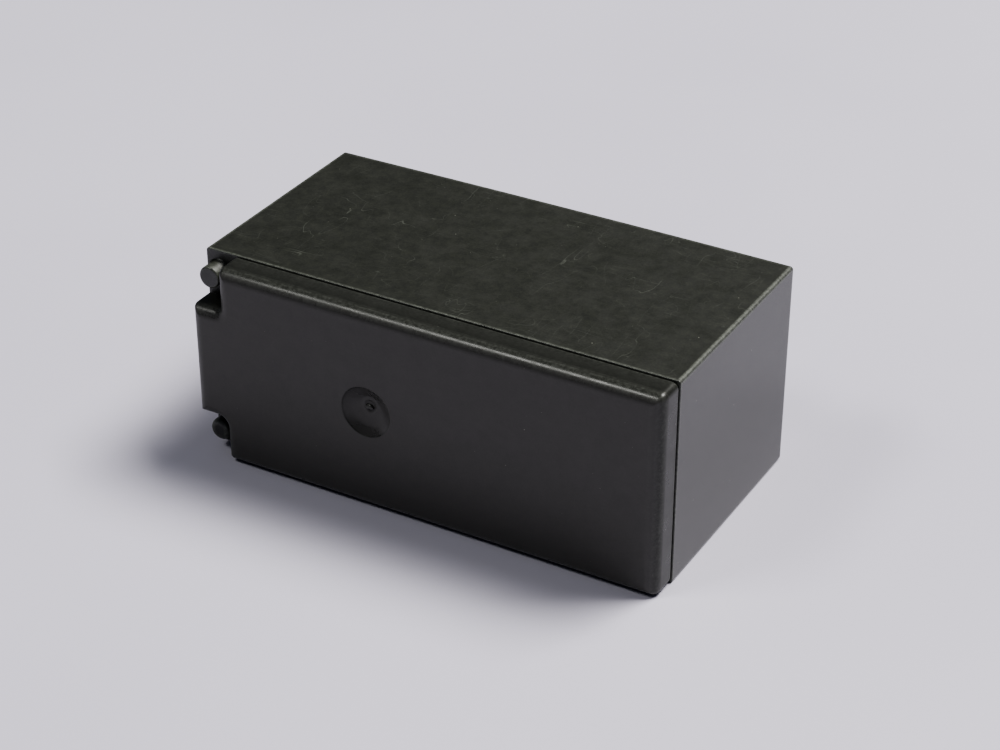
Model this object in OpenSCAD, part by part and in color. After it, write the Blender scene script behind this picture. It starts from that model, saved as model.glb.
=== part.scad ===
// Miniature plug-in power relay with two changeover contacts, lying on its long narrow side.
// Every module draws in the relay's own coordinates, in millimetres: X runs along the case from its
// left end, Y from the face of the top plate back towards the board pins, and Z up from the side that
// it lies on. in_place() then moves the origin to the middle of the underside of the whole part.

/* [Body] */
// Length of the case, end to end
body_l = 28.8; // [28.6:0.1:29.2]
// Height of the case as it lies
body_h = 12.3; // [12.3:0.1:12.7]
// Depth from the face of the top plate to the board
body_d = 15.8; // [15.7:0.1:16]
// Thickness of the case walls
wall = 0.95; // [0.85:0.05:1]
// Radius of the case edges that run from front to back
case_edge_r = 0.2; // [0.15:0.05:0.5]
// Clearance between pieces that slip together
slip = 0.03; // [0.02:0.01:0.04]

/* [Top plate] */
// Visible thickness of the plate
plate_t = 1.8; // [1.6:0.05:1.8]
// Radius round the plate's front edges
plate_fillet = 0.7; // [0.5:0.05:0.8]
// How far the plate stands inside the outline of the case
plate_inset = 0.05; // [0.05:0.05:0.15]
// Width of the groove between plate and case
groove = 0.1; // [0.1:0.05:0.2]
// Depth of the plug that holds the plate in the case
plug_d = 0.75; // [0.6:0.05:0.8]
// Length of the two notches at the left corners
notch_l = 1.85; // [1.8:0.05:2]
// Height of the two notches at the left corners
notch_h = 2.7; // [2.5:0.1:2.9]
// Diameter of the moulding gate's dimple
dimple_dia = 3; // [2.6:0.1:3.4]
// Depth of the moulding gate's dimple
dimple_depth = 0.5; // [0.4:0.05:0.7]
// Distance of the dimple from the left end
dimple_x = 11.3; // [9:0.1:20]

/* [Pegs] */
// Diameter of the two pegs in the notches
peg_dia = 1.3; // [1.2:0.1:1.5]
// Length of the pegs beyond the rim of the case
peg_l = 1; // [0.8:0.05:1.5]
// Distance of the pegs from the left end
peg_x = 0.8; // [0.7:0.05:1]
// Distance of the pegs from the case's long sides
peg_edge = 1.25; // [1.2:0.05:1.5]

/* [Terminals] */
// Length of the pins beyond the board face
pin_l = 3.5; // [3:0.1:4]
// Distance between the two rows of pins
row_pitch = 7.5; // [7.4:0.1:7.6]
// Diameter of the two coil pins
coil_pin_dia = 0.8; // [0.7:0.05:0.8]
// Thickness of the contact terminals
blade_t = 0.5; // [0.45:0.05:0.5]
// Width of the contact pins
pin_w = 1; // [0.8:0.1:1]

/* [Magnet] */
// Angle that the armature turns when the coil is energised
swing = 4.5; // [4:0.1:4.6]
// Outer diameter of the winding
winding_dia = 8; // [6.5:0.1:8]
// Diameter of the core
core_dia = 4; // [3.6:0.1:4.2]

/* [Hidden] */
$fn = 48;

mid_z = body_h / 2;
row_z = [mid_z - row_pitch / 2, mid_z + row_pitch / 2];
rim_y = plate_t + groove;
tip_y = body_d + pin_l;
plug_y = rim_y + plug_d;
card_y = [plug_y + 0.1, plug_y + 1.1];

// Inner faces of the case walls, as [from, to]
inner_x = [wall, body_l - wall];
inner_z = [wall, body_h - wall];
// Blocks behind the notches that carry the pegs
corner_block = [notch_l - wall + 0.45, 1.65, notch_h - wall + 0.4];

// Scar of the moulding gate in the dimple
gate_r = 0.25;

// Terminal base, the resin on its back and the feet that stand on the board
base_t = 1.5;
base_y = [body_d - 1.9, body_d - 1.9 + base_t];
resin_t = 0.18;
foot_r = 0.6;
foot_x = [5.2, body_l - 5.2];
foot_edge = 2.1;

// Where the pins stand on their 2.5 mm grid, from the left end
coil_pin_x = body_l / 2 - 12.5;
nc_pin_x = body_l / 2 + 2.5;
com_pin_x = body_l / 2 + 7.5;
no_pin_x = body_l / 2 + 12.5;
coil_post_y = 10.9;
coil_shank = 0.35 * coil_pin_dia;

// Armature, its heel on the pivot line, and the yoke that carries it
armature_t = 1;
pivot = [3.1, body_d - 2.65];
armature_top = card_y[0];
armature_shoulder = 4;
armature_z = [mid_z - 2.8, mid_z + 2.8];
tongue_z = [mid_z - 1.5, mid_z + 1.5];
yoke_z = [mid_z - 2.6, mid_z + 2.6];
yoke_y = [pivot[1] - 0.55, pivot[1] + 0.57];
yoke_leg_x = [16.3, 17.4];

// Coil, on an axis along X
flange_half_y = 4.1;
flange_half_z = 4.9;
coil_y = yoke_y[0] - 0.15 - flange_half_y;
yoke_leg_top = coil_y - 3.45;
pole_x = pivot[0] + armature_t / 2 + 0.04;
pole_t = 0.5;
pole_r = 3;
rivet_r = 1.47;
flange_t = 0.8;
flange_x = [4.2, 15.4];
tube_r = core_dia / 2 + 0.55;
ear_z = 2.05;
wire_r = 0.09;

// Card between the armature and the moving springs
card_lever = pivot[1] - (card_y[0] + card_y[1]) / 2;
card_shift = card_lever * sin(swing);
card_x = [1.15, 22.6];
card_wide_x = 18.8;
card_narrow_z = [mid_z - 2.7, mid_z + 2.7];
tongue_slot = armature_t / 2 + 0.085;

// Contacts: the spring's left face, its contact height, and the faces of the fixed contacts
spring_t = 0.15;
spring_x = 21.3;
spring_half_z = 1.3;
neck_half_z = 0.6;
root_r = 0.2;
contact_y = 6.3;
contact_head = 0.4;
contact_dome = 0.2;
contact_r = 0.95;
shank_r = 0.4;
contact_lift = (pivot[1] - contact_y) * sin(swing);
contact_seat = 0.02;
nc_face_x = spring_x - contact_seat - contact_head - contact_dome - slip;
no_face_x = spring_x + spring_t + contact_seat + contact_head + contact_dome + contact_lift + slip;
fixed_head = 0.6;
fixed_r = 1.1;
nc_blade_x = nc_face_x - fixed_head - blade_t;
no_blade_x = no_face_x + fixed_head;
run_y = body_d - 3.1;
blade_top = 5;
blade_half_z = 1;

// Insulation between coil and contacts, and between the two poles
barrier_x = [18, 18.5];
barrier_y = [4.05, base_y[0] - 0.05];
barrier_t = 0.5;

module in_place() {
    translate([-body_l / 2, -tip_y / 2, 0]) children();
}

// A box between two planes on each axis
module block(x, y, z) {
    translate([x[0], y[0], z[0]]) cube([x[1] - x[0], y[1] - y[0], z[1] - z[0]]);
}

// Round rods along each axis
module rod_x(x, y, z, r) {
    translate([x[0], y, z]) rotate([0, 90, 0]) cylinder(h = x[1] - x[0], r = r);
}

module rod_y(x, y, z, r) {
    translate([x, y[0], z]) rotate([-90, 0, 0]) cylinder(h = y[1] - y[0], r = r);
}

module rod_z(x, y, z, r) {
    translate([x, y, z[0]]) cylinder(h = z[1] - z[0], r = r);
}

// Carries a flat outline in X and Z through the depth y
module through_depth(y) {
    translate([0, y[1], 0]) rotate([90, 0, 0]) linear_extrude(y[1] - y[0]) children();
}

// Rectangle with round corners, built from its corner circles
module round_rect(x, z, r) {
    translate([x[0] + r, z[0]]) square([x[1] - x[0] - 2 * r, z[1] - z[0]]);
    translate([x[0], z[0] + r]) square([x[1] - x[0], z[1] - z[0] - 2 * r]);
    for (cx = [x[0] + r, x[1] - r], cz = [z[0] + r, z[1] - r])
        translate([cx, cz]) circle(r);
}

// Slab whose front face, at y = 0, has rounded edges and corners
module soft_slab(x, z, t, r) {
    in_x = [x[0] + r, x[1] - r];
    in_z = [z[0] + r, z[1] - r];
    block(in_x, [0, t], in_z);
    through_depth([r, t]) round_rect(x, z, r);
    for (cz = in_z) rod_x(in_x, r, cz, r);
    for (cx = in_x) rod_z(cx, r, in_z, r);
    for (cx = in_x, cz = in_z) translate([cx, r, cz]) sphere(r);
}

// Four-walled sleeve with the two pegs that key the relay at its left end
module case() {
    color("#26282a") in_place() {
        difference() {
            through_depth([rim_y, body_d]) round_rect([0, body_l], [0, body_h], case_edge_r);
            block(inner_x, [rim_y - 1, body_d + 1], inner_z);
        }
        for (z = [[wall, wall + corner_block[2]], [body_h - wall - corner_block[2], body_h - wall]])
            block([wall, wall + corner_block[0]], [rim_y, rim_y + corner_block[1]], z);
        for (z = [peg_edge, body_h - peg_edge])
            rod_y(peg_x, [rim_y - peg_l, rim_y], z, peg_dia / 2);
    }
}

// Plate that snaps into the front of the case, notched round the pegs, with the gate's dimple
module top_plate() {
    face_x = [plate_inset, body_l - plate_inset];
    face_z = [plate_inset, body_h - plate_inset];
    dish_r = (pow(dimple_dia / 2, 2) + pow(dimple_depth, 2)) / (2 * dimple_depth);
    plug_x = [inner_x[0] + slip, inner_x[1] - slip];
    plug_z = [inner_z[0] + slip, inner_z[1] - slip];
    clear_x = wall + corner_block[0] + slip;
    clear_z = corner_block[2] + 2 * slip;
    color("#2a2c30") in_place() {
        difference() {
            union() {
                soft_slab([notch_l, face_x[1]], face_z, plate_t, plate_fillet);
                soft_slab([face_x[0], 3 * notch_l], [notch_h, body_h - notch_h], plate_t, plate_fillet);
            }
            translate([dimple_x, dimple_depth - dish_r, mid_z]) sphere(dish_r);
        }
        rod_y(dimple_x + 0.1, [dimple_depth - 0.25, dimple_depth + 0.1], mid_z + 0.2, gate_r);
        difference() {
            block(plug_x, [plate_t - 0.1, plug_y], plug_z);
            for (z = [[0, inner_z[0] + clear_z], [inner_z[1] - clear_z, body_h]])
                block([0, clear_x], [0, plug_y + 1], z);
        }
    }
}

// Base that closes the back of the case and holds the terminals
module terminal_base() {
    color("#1f2124") in_place() {
        difference() {
            block([inner_x[0] + slip, inner_x[1] - slip], base_y,
                [inner_z[0] + slip, inner_z[1] - slip]);
            pin_holes(base_y, slip);
        }
        for (x = foot_x, z = [foot_edge, body_h - foot_edge])
            rod_y(x, [base_y[1] - 0.1, body_d], z, foot_r);
    }
}

// Poured resin that seals the base to the case and the pins
module sealing_resin() {
    color("#3a3b36") in_place() difference() {
        block([inner_x[0] + slip, inner_x[1] - slip], [base_y[1] + 0.01, base_y[1] + resin_t],
            [inner_z[0] + slip, inner_z[1] - slip]);
        pin_holes([base_y[1], base_y[1] + resin_t], slip);
        for (x = foot_x, z = [foot_edge, body_h - foot_edge])
            rod_y(x, [base_y[1] - 1, body_d + 1], z, foot_r + slip);
    }
}

// Holes for all eight pins, through the depth y
module pin_holes(y, gap) {
    past = [y[0] - 0.5, y[1] + 0.5];
    for (z = row_z) {
        square_post(past, z, coil_shank + gap);
        for (x = [nc_pin_x, com_pin_x, no_pin_x])
            block([x - blade_t / 2 - gap, x + blade_t / 2 + gap], past,
                [z - pin_w / 2 - gap, z + pin_w / 2 + gap]);
    }
}

// Square part of a coil pin, or the hole for it
module square_post(y, z, half) {
    block([coil_pin_x - half, coil_pin_x + half], y, [z - half, z + half]);
}

// Moulded wall between coil and contacts, with the partition between the poles
module insulation_wall() {
    color("#c9c3b0") in_place() {
        difference() {
            block(barrier_x, barrier_y, [inner_z[0] + 0.05, inner_z[1] - 0.05]);
            for (z = row_z)
                block([barrier_x[0] - 1, barrier_x[1] + 1], [run_y - 0.15, run_y + blade_t + 0.15],
                    [z - pin_w / 2 - 0.15, z + pin_w / 2 + 0.15]);
        }
        block([barrier_x[1] - 0.1, inner_x[1] - 0.25], [barrier_y[0] + 0.35, barrier_y[1]],
            [mid_z - barrier_t / 2, mid_z + barrier_t / 2]);
    }
}

// Bobbin with two flanges and the ears that hold the coil pins
module coil_bobbin() {
    tube_x = [flange_x[0], flange_x[1] + flange_t];
    color("#d8d2c0") in_place() difference() {
        union() {
            for (x = flange_x)
                through_flange(x) round_rect([coil_y - flange_half_y, coil_y + flange_half_y],
                    [mid_z - flange_half_z, mid_z + flange_half_z], 0.6);
            rod_x(tube_x, coil_y, mid_z, tube_r);
            for (z = [[inner_z[0] + 0.2, inner_z[0] + 0.2 + ear_z],
                    [inner_z[1] - 0.2 - ear_z, inner_z[1] - 0.2]])
                block([1.2, flange_x[0] + flange_t], [12, base_y[0] - 0.08], z);
        }
        rod_x([0, body_l], coil_y, mid_z, core_dia / 2 + slip);
        for (z = row_z) square_post([11, body_d], z, coil_shank + slip);
    }
}

// Carries a flat outline in Y and Z through one flange that starts at x
module through_flange(x) {
    translate([x, 0, 0]) rotate([90, 0, 90]) linear_extrude(flange_t) children();
}

// Enamelled copper winding
module coil_winding() {
    ends = [flange_x[0] + flange_t + slip, flange_x[1] - slip];
    color("#a4552a") in_place() difference() {
        rod_x(ends, coil_y, mid_z, winding_dia / 2);
        rod_x([0, body_l], coil_y, mid_z, tube_r + slip);
    }
}

// The winding's two ends, wrapped round the coil pins
module coil_leads() {
    color("#b4602f") in_place() {
        coil_lead();
        translate([0, 0, body_h]) mirror([0, 0, 1]) coil_lead();
    }
}

// One lead, from the turns round its pin, past the flange and down to the winding
module coil_lead() {
    wrap_r = sqrt(2) * coil_shank + 0.01;
    wrap_y = [11.1, 11.7];
    side_z = inner_z[0] + 0.18;
    over_flange = flange_x[0] + flange_t + 0.12;
    route = [
        [coil_pin_x + 0.05, 11.3, row_z[0] - wrap_r - wire_r],
        [3.2, 10.8, side_z],
        [over_flange, 9.1, side_z],
        [over_flange + 0.3, 8.7, mid_z - winding_dia / 2 - 0.2]
    ];
    difference() {
        rod_y(coil_pin_x, wrap_y, row_z[0], wrap_r + 2 * wire_r);
        rod_y(coil_pin_x, [wrap_y[0] - 1, wrap_y[1] + 1], row_z[0], wrap_r);
    }
    for (i = [0:len(route) - 2]) {
        wire_run(route[i], route[i + 1]);
        translate(route[i + 1]) sphere(1.02 * wire_r, $fn = 24);
    }
}

// Straight piece of wire from one point to another
module wire_run(from, to) {
    d = to - from;
    translate(from) rotate([0, acos(d[2] / norm(d)), atan2(d[1], d[0])])
        cylinder(h = norm(d), r = wire_r, $fn = 24);
}

// Soft-iron core with its pole face, riveted into the yoke
module core() {
    color("#9a9da0") in_place() {
        rod_x([pole_x, pole_x + pole_t], coil_y, mid_z, pole_r);
        rod_x([pole_x + pole_t - 0.1, yoke_leg_x[0] - 0.02], coil_y, mid_z, core_dia / 2);
        rod_x([yoke_leg_x[0] - 0.1, yoke_leg_x[1] + 0.1], coil_y, mid_z, rivet_r);
        rod_x([yoke_leg_x[1] + 0.02, yoke_leg_x[1] + 0.32], coil_y, mid_z, core_dia / 2);
    }
}

// L-shaped yoke with the round seat for the armature's heel
module yoke() {
    color("#a9acae") in_place() difference() {
        union() {
            block([pivot[0] + 0.2, yoke_leg_x[1]], yoke_y, yoke_z);
            block(yoke_leg_x, [yoke_leg_top, yoke_y[1]], yoke_z);
        }
        rod_z(pivot[0], pivot[1], [0, body_h], armature_t / 2 + slip);
        block([0, pole_x], [0, pivot[1]], [0, body_h]);
        rod_x([yoke_leg_x[0] - 1, yoke_leg_x[1] + 1], coil_y, mid_z, rivet_r + slip);
    }
}

// Armature, drawn tilted open by its full swing
module armature() {
    plate_x = [pivot[0] - armature_t / 2, pivot[0] + armature_t / 2];
    color("#8f9396") in_place()
        translate([pivot[0], pivot[1], 0]) rotate([0, 0, -swing]) translate([-pivot[0], -pivot[1], 0]) {
            block(plate_x, [armature_shoulder, pivot[1]], armature_z);
            block(plate_x, [armature_top, armature_shoulder + 0.1], tongue_z);
            rod_z(pivot[0], pivot[1], armature_z, armature_t / 2);
        }
}

// Leaf spring that holds the armature's heel in its seat
module hinge_spring() {
    t = 0.12;
    under = yoke_y[1] + 0.02;
    heel_x = pivot[0] - armature_t / 2 - 0.04;
    leg_top = [heel_x - 4.3 * tan(swing), pivot[1] - 4.15];
    color("#c7b27a") in_place() translate([0, 0, mid_z - 1]) linear_extrude(2)
        polygon([leg_top, [heel_x, pivot[1]], [heel_x, under], [9, under], [9, under + t],
            [heel_x - t, under + t], [heel_x - t, pivot[1]], leg_top - [t, 0]]);
}

// Card that carries the armature's stroke to the moving springs
module card() {
    tongue_x = pivot[0] - card_shift;
    gap = spring_t / 2 + 0.09;
    color("#e4dfd0") in_place() through_depth(card_y) difference() {
        union() {
            round_rect([card_x[0], card_wide_x + 1], card_narrow_z, 0.4);
            round_rect([card_wide_x, card_x[1]], [inner_z[0] + 0.25, inner_z[1] - 0.25], 0.4);
        }
        translate([tongue_x - tongue_slot, tongue_z[0] - 0.1])
            square([2 * tongue_slot, tongue_z[1] - tongue_z[0] + 0.2]);
        for (z = row_z)
            translate([spring_x + spring_t / 2 - gap, z - neck_half_z - 0.1])
                square([2 * gap, 2 * neck_half_z + 0.2]);
        for (z = [mid_z - 1.4, mid_z + 1.4])
            round_rect([6, 16.5], [z - 0.55, z + 0.55], 0.5);
    }
}

// Spring of one pole, with a rolled root on its bending line and a neck that enters the card
module moving_spring(z) {
    x = [spring_x, spring_x + spring_t];
    color("#c58a4a") in_place() {
        difference() {
            block(x, [4.4, pivot[1]], [z - spring_half_z, z + spring_half_z]);
            rod_x([x[0] - 1, x[1] + 1], contact_y, z, shank_r + contact_seat);
        }
        block(x, [card_y[0] + 0.1, 4.5], [z - neck_half_z, z + neck_half_z]);
        rod_z(spring_x + spring_t / 2, pivot[1], [z - spring_half_z, z + spring_half_z], root_r);
    }
}

// Double-headed contact rivet of one moving spring
module moving_contact(z) {
    color("#dcdcd8") in_place() {
        rod_x([spring_x - 0.1, spring_x + spring_t + 0.1], contact_y, z, shank_r);
        domed_head(spring_x - contact_seat, z, -1);
        domed_head(spring_x + spring_t + contact_seat, z, 1);
    }
}

// Contact head that starts at x and is domed towards side
module domed_head(x, z, side) {
    dome_r = (pow(contact_r, 2) + pow(contact_dome, 2)) / (2 * contact_dome);
    t = contact_head + contact_dome;
    translate([x, contact_y, z]) rotate([0, side * 90, 0]) rotate_extrude() intersection() {
        translate([0, t - dome_r]) circle(dome_r);
        square([contact_r, t]);
    }
}

// Fixed contact rivet whose face is at x and whose blade lies on the side given
module fixed_contact(x, z, side) {
    back = x + side * (fixed_head + blade_t);
    upset_r = 0.75;
    color("#d6d6d2") in_place() {
        span_rod(x, x + side * fixed_head, z, fixed_r);
        span_rod(x + side * (fixed_head - 0.1), back + side * 0.2, z, shank_r);
        span_rod(back + side * 0.02, back + side * 0.3, z, upset_r);
    }
}

// Rod along X at the contact height between two places in either order
module span_rod(a, b, z, r) {
    rod_x([min(a, b), max(a, b)], contact_y, z, r);
}

// Flat pin with a tapered tip, from y to the tip
module flat_pin(x, y, z) {
    half = pin_w / 2;
    taper = 0.5;
    translate([x + blade_t / 2, 0, z]) rotate([0, -90, 0]) linear_extrude(blade_t)
        polygon([[-half, y], [half, y], [half, tip_y - taper], [half / 2, tip_y],
            [-half / 2, tip_y], [-half, tip_y - taper]]);
}

// Terminal with an upright blade for a fixed contact, a step across and its pin
module fixed_terminal(blade_x, pin_x, z) {
    color("#c9b37c") in_place() {
        difference() {
            block([blade_x, blade_x + blade_t], [blade_top, run_y + blade_t],
                [z - blade_half_z, z + blade_half_z]);
            rod_x([blade_x - 1, blade_x + blade_t + 1], contact_y, z, shank_r + contact_seat);
        }
        block([min(blade_x, pin_x - blade_t / 2), max(blade_x, pin_x - blade_t / 2) + blade_t],
            [run_y, run_y + blade_t], [z - pin_w / 2, z + pin_w / 2]);
        flat_pin(pin_x, run_y, z);
    }
}

// Common terminal, whose short blade backs the root of the moving spring
module com_terminal(z) {
    blade_x = spring_x - 0.02 - blade_t;
    com_top = 10.9;
    step_y = [body_d - 2.35, base_y[0] - 0.02];
    color("#c9b37c") in_place() {
        difference() {
            block([blade_x, blade_x + blade_t], [com_top, step_y[1]],
                [z - spring_half_z, z + spring_half_z]);
            rod_z(spring_x + spring_t / 2, pivot[1], [0, body_h], root_r + slip);
        }
        block([blade_x, com_pin_x + blade_t / 2], step_y, [z - pin_w / 2, z + pin_w / 2]);
        flat_pin(com_pin_x, step_y[0], z);
    }
}

// Coil pin, round beyond the board face and square where the bobbin and the base hold it
module coil_terminal(z) {
    r = coil_pin_dia / 2;
    cone = 0.3;
    color("#cfc9b4") in_place() {
        square_post([coil_post_y, body_d + 0.1], z, coil_shank);
        rod_y(coil_pin_x, [body_d, tip_y - cone], z, r);
        translate([coil_pin_x, tip_y - cone, z]) rotate([-90, 0, 0])
            cylinder(h = cone, r1 = r, r2 = r / 2);
    }
}

case();
top_plate();
terminal_base();
sealing_resin();
insulation_wall();
coil_bobbin();
coil_winding();
coil_leads();
core();
yoke();
armature();
hinge_spring();
card();
moving_spring(row_z[0]);  // moving_spring_1
moving_spring(row_z[1]);  // moving_spring_2
moving_contact(row_z[0]);  // moving_contact_1
moving_contact(row_z[1]);  // moving_contact_2
com_terminal(row_z[0]);  // com_terminal_1
com_terminal(row_z[1]);  // com_terminal_2
fixed_terminal(nc_blade_x, nc_pin_x, row_z[0]);  // nc_terminal_1
fixed_terminal(nc_blade_x, nc_pin_x, row_z[1]);  // nc_terminal_2
fixed_terminal(no_blade_x, no_pin_x, row_z[0]);  // no_terminal_1
fixed_terminal(no_blade_x, no_pin_x, row_z[1]);  // no_terminal_2
fixed_contact(nc_face_x, row_z[0], -1);  // nc_contact_1
fixed_contact(nc_face_x, row_z[1], -1);  // nc_contact_2
fixed_contact(no_face_x, row_z[0], 1);  // no_contact_1
fixed_contact(no_face_x, row_z[1], 1);  // no_contact_2
coil_terminal(row_z[0]);  // coil_terminal_1
coil_terminal(row_z[1]);  // coil_terminal_2
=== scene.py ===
import math
import random

import bmesh
import bpy
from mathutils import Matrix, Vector, geometry, noise


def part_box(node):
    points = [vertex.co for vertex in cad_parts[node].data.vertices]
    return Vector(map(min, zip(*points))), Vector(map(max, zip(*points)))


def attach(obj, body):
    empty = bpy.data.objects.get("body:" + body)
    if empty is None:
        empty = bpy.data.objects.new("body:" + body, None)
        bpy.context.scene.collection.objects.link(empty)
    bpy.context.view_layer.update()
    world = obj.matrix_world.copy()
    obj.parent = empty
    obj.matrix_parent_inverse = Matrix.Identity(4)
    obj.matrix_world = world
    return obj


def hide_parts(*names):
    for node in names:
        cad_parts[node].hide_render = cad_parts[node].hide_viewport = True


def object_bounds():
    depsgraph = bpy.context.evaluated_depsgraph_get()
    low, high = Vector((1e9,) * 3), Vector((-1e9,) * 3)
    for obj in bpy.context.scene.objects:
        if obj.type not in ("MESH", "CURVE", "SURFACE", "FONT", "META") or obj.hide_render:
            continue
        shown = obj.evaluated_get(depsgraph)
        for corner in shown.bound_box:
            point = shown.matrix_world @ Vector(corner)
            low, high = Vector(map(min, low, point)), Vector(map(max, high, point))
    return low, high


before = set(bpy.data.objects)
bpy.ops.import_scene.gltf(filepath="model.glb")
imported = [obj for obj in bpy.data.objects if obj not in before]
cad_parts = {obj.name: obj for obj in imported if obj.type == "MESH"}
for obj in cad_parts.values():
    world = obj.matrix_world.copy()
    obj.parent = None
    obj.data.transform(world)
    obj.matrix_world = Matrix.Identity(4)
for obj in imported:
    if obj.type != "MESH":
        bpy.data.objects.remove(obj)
cad_bounds = [list(corner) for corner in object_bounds()]

MM = 0.001
TINY = 0.01 * MM

# ---------------------------------------------------------------- places, from the frame

case_lo, case_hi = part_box("case")
plate_lo, plate_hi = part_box("top_plate")
base_lo, base_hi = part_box("terminal_base")
resin_lo, resin_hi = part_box("sealing_resin")
coil_lo, coil_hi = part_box("coil_winding")

LEFT = case_lo.x
RIGHT = case_hi.x
MID_X = (LEFT + RIGHT) / 2
BOTTOM = case_lo.z
TOP = case_hi.z
MID_Z = (BOTTOM + TOP) / 2
FACE = plate_lo.y
BOARD = case_hi.y

# ---------------------------------------------------------------- sizes that a node's box doesn't give

WALL = 0.95 * MM
RIM = FACE + 1.9 * MM
CORNER_R = 0.2 * MM
WALL_SINK = 0.035 * MM
BACK_BOW = 0.10 * MM

PLATE_T = 1.8 * MM
FILLET = 0.7 * MM
NOTCH_L = 1.85 * MM
NOTCH_H = 2.7 * MM
BLOCK_L = NOTCH_L - WALL + 0.45 * MM
BLOCK_H = NOTCH_H - WALL + 0.4 * MM
SKIRT = 0.75 * MM

PEG_X = LEFT + 0.8 * MM
PEG_EDGE = 1.25 * MM
PEG_R = 0.65 * MM
PEG_L = 1.0 * MM

DIMPLE = Vector((LEFT + 11.3 * MM, FACE, MID_Z))
DIMPLE_R = 1.5 * MM
DIMPLE_DEPTH = 0.5 * MM
SCAR_SHIFT = Vector((0.05 * MM, 0.0, 0.18 * MM))
SCAR_DEPTH = DIMPLE_DEPTH * 0.9

FOOT_X = 5.2 * MM
FOOT_Z = 2.1 * MM
FOOT_R = 0.6 * MM
FEET = [Vector((x, 0.0, z)) for x in (LEFT + FOOT_X, RIGHT - FOOT_X)
        for z in (BOTTOM + FOOT_Z, TOP - FOOT_Z)]

COIL_PINS = ["coil_terminal_1", "coil_terminal_2"]
CONTACT_PINS = [f"{kind}_terminal_{n}" for kind in ("nc", "com", "no") for n in (1, 2)]
COIL_PIN_HALF = 0.28 * MM
CONTACT_PIN_HALF_X = 0.25 * MM
CONTACT_PIN_HALF_Z = 0.5 * MM
WIRE_R = 0.09 * MM


def pin_place(name):
    """Where a pin stands along X: the middle of its points beyond the board face."""
    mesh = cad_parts[name]
    spots = [mesh.matrix_world @ v.co for v in mesh.data.vertices]
    beyond = [p.x for p in spots if p.y > BOARD + 0.5 * MM]
    return (min(beyond) + max(beyond)) / 2


# ---------------------------------------------------------------- mesh tools

ROUNDING_SHARE = 0.08


def angles(count):
    """Equal steps round a full turn."""
    return [2 * math.pi * k / count for k in range(count)]


def arch(value, lo, hi):
    """1 midway between lo and hi, falling to 0 at both."""
    return max(0.0, 4 * (value - lo) * (hi - value) / (hi - lo) ** 2)


def outline(x0, x1, z0, z1, r):
    """Rectangle in X and Z as corners (x, z, radius), anticlockwise seen from the front."""
    return [(x0, z0, r), (x1, z0, r), (x1, z1, r), (x0, z1, r)]


def ring(corners, inset, y, arc, edge, guard=0.0):
    """Points of an outline with right-angled corners, drawn in by inset, at the depth y.
    y may be a number, or a function of x and z. Each corner gets arc steps and each side edge steps.
    A guard puts one more point that far from each arc."""
    runs = []
    count = len(corners)
    for i in range(count):
        a, c, b = (Vector(corners[k % count][:2]) for k in (i - 1, i, i + 1))
        radius = corners[i][2]
        into = (c - a).normalized()
        out = (b - c).normalized()
        n_in = Vector((-into.y, into.x))
        n_out = Vector((-out.y, out.x))
        if into.x * out.y - into.y * out.x > 0:
            r = max(radius - inset, TINY)
            centre = c + (inset + r) * (n_in + n_out)
            start, end = -n_in, -n_out
        else:
            r = radius + inset
            centre = c - radius * (n_in + n_out)
            start, end = n_in, n_out
        run = []
        for k in range(arc + 1):
            t = k / arc * math.pi / 2
            run.append(centre + r * (start * math.cos(t) + end * math.sin(t)))
        runs.append(run)
    points = []
    for i, run in enumerate(runs):
        points += run
        nxt = runs[(i + 1) % count][0]
        shares = [k / edge for k in range(1, edge)]
        if guard > 0:
            near = guard / (nxt - run[-1]).length
            shares = [near] + shares + [1 - near]
        points += [run[-1].lerp(nxt, share) for share in shares]
    return [Vector((p.x, y(p.x, p.y) if callable(y) else y, p.y)) for p in points]


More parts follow.
